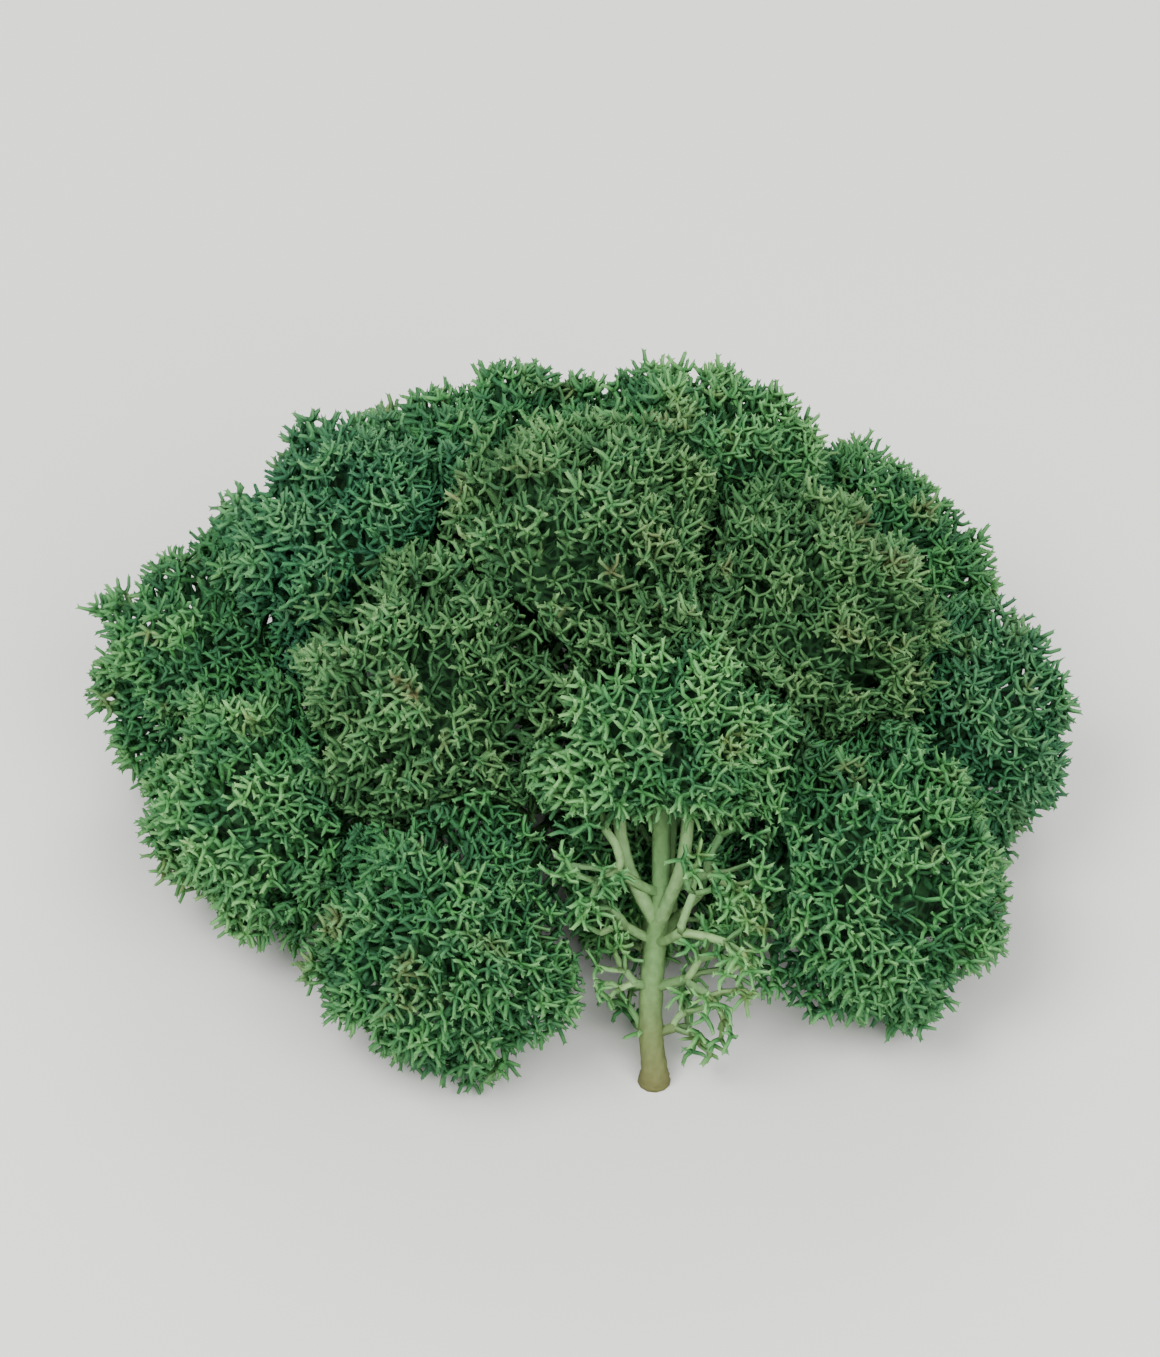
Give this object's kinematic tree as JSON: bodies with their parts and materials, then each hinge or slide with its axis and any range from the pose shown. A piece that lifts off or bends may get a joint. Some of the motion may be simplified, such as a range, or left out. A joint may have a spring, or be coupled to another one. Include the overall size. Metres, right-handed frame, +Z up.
{
  "type": "reindeer moss clump",
  "caption": "Hilly cushion of green-dyed preserved reindeer moss: forking lichen stalks whose rounded heads of fine branchlets press together, one with a bare stalk at the front.",
  "frame": {"origin": "middle of the top podetium's flat cut foot, on the surface that the clump rests on", "axes": "+X along the clump's long side, +Y from its open front to its back, +Z up"},
  "size_m": [0.0916, 0.08, 0.0464],
  "materials": {
    "leaf_green": "matt, soft, dyed lichen branchlets",
    "olive_green": "matt, soft, dyed lichen branchlets",
    "blue_green": "matt, soft, dyed lichen branchlets",
    "pale_green": "matt, soft, dyed lichen branchlets"
  },
  "bodies": {
    "root": {"top_podetium": "olive_green", "open_podetium": "pale_green", "front_right_podetium": "leaf_green", "front_left_podetium": "leaf_green", "upper_front_left_podetium": "olive_green", "left_podetium": "pale_green", "upper_right_podetium": "olive_green", "upper_left_podetium": "blue_green", "right_podetium": "blue_green", "back_left_podetium": "leaf_green", "upper_back_right_podetium": "pale_green", "upper_back_podetium": "leaf_green", "back_right_podetium": "leaf_green", "back_podetium": "blue_green", "rear_left_podetium": "pale_green"}
  },
  "joints": []
}
